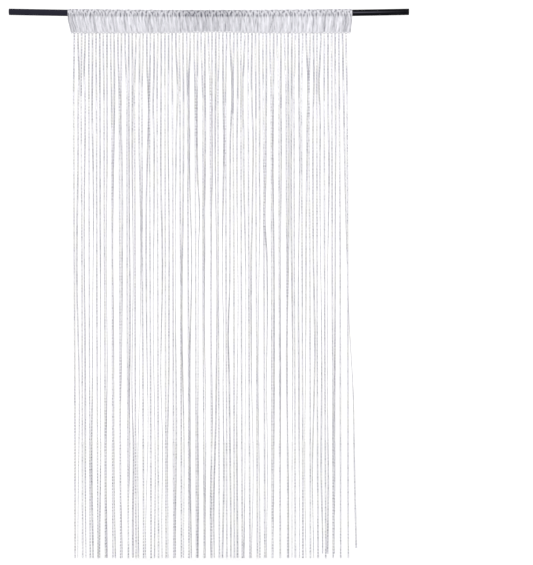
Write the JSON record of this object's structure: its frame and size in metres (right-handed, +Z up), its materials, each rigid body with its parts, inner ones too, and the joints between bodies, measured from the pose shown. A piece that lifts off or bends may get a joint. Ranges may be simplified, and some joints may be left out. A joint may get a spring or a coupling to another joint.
{
  "type": "string curtain on a rod",
  "caption": "Curtain of silvery braided strings hanging level from a gathered knit sleeve, on a plain round black rod.",
  "frame": {"origin": "middle of the rod's axis, halfway between its ends, at the lowest point of its slight bow", "axes": "+X along the rod to the right as seen from the front, +Z up, the viewer looks along +Y"},
  "size_m": [1.458, 0.0301, 2.0032],
  "materials": {
    "rod_paint": "satin black paint",
    "silver_knit": "sheer silvery knit, gathered",
    "silver_braid": "white yarn braided with silver foil ribbon"
  },
  "bodies": {
    "root": {"rod": "rod_paint", "heading": "silver_knit", "strings": "silver_braid"}
  },
  "joints": []
}
